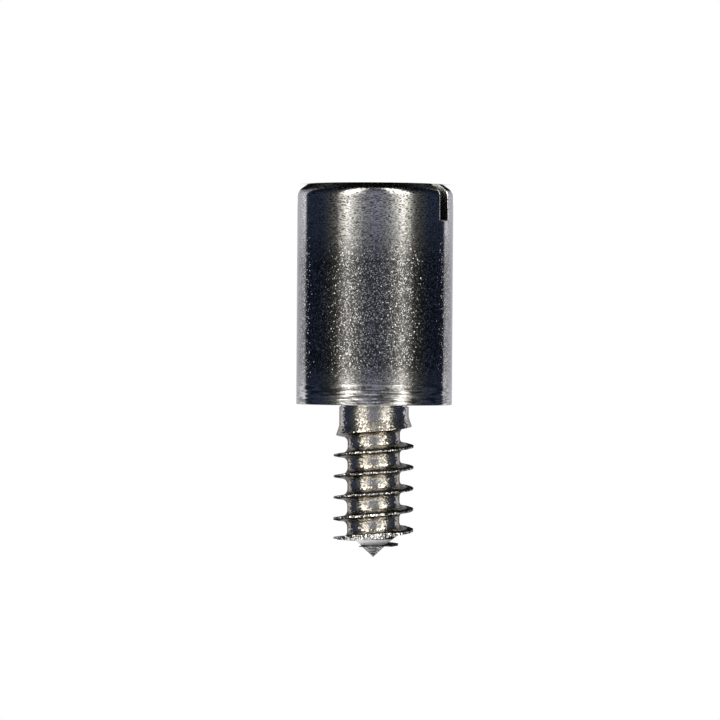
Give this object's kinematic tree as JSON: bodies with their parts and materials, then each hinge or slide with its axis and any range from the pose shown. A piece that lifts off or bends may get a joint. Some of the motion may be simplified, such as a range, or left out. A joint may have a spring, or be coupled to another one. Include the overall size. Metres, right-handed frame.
{
  "type": "watch setting lever screw",
  "caption": "Turned steel screw with a tall slotted barrel head, a short plain shank and a deep right-hand thread that ends in a point; it holds a watch's setting lever.",
  "frame": {"origin": "centre of the slotted face, on which the screw stands", "axes": "+Z along the screw's axis, from the slotted face to the point; X along the driver slot"},
  "size_m": [0.0014, 0.0014, 0.0035],
  "materials": {
    "steel": "polished"
  },
  "bodies": {
    "root": {"setting_lever_screw": "steel"}
  },
  "joints": []
}
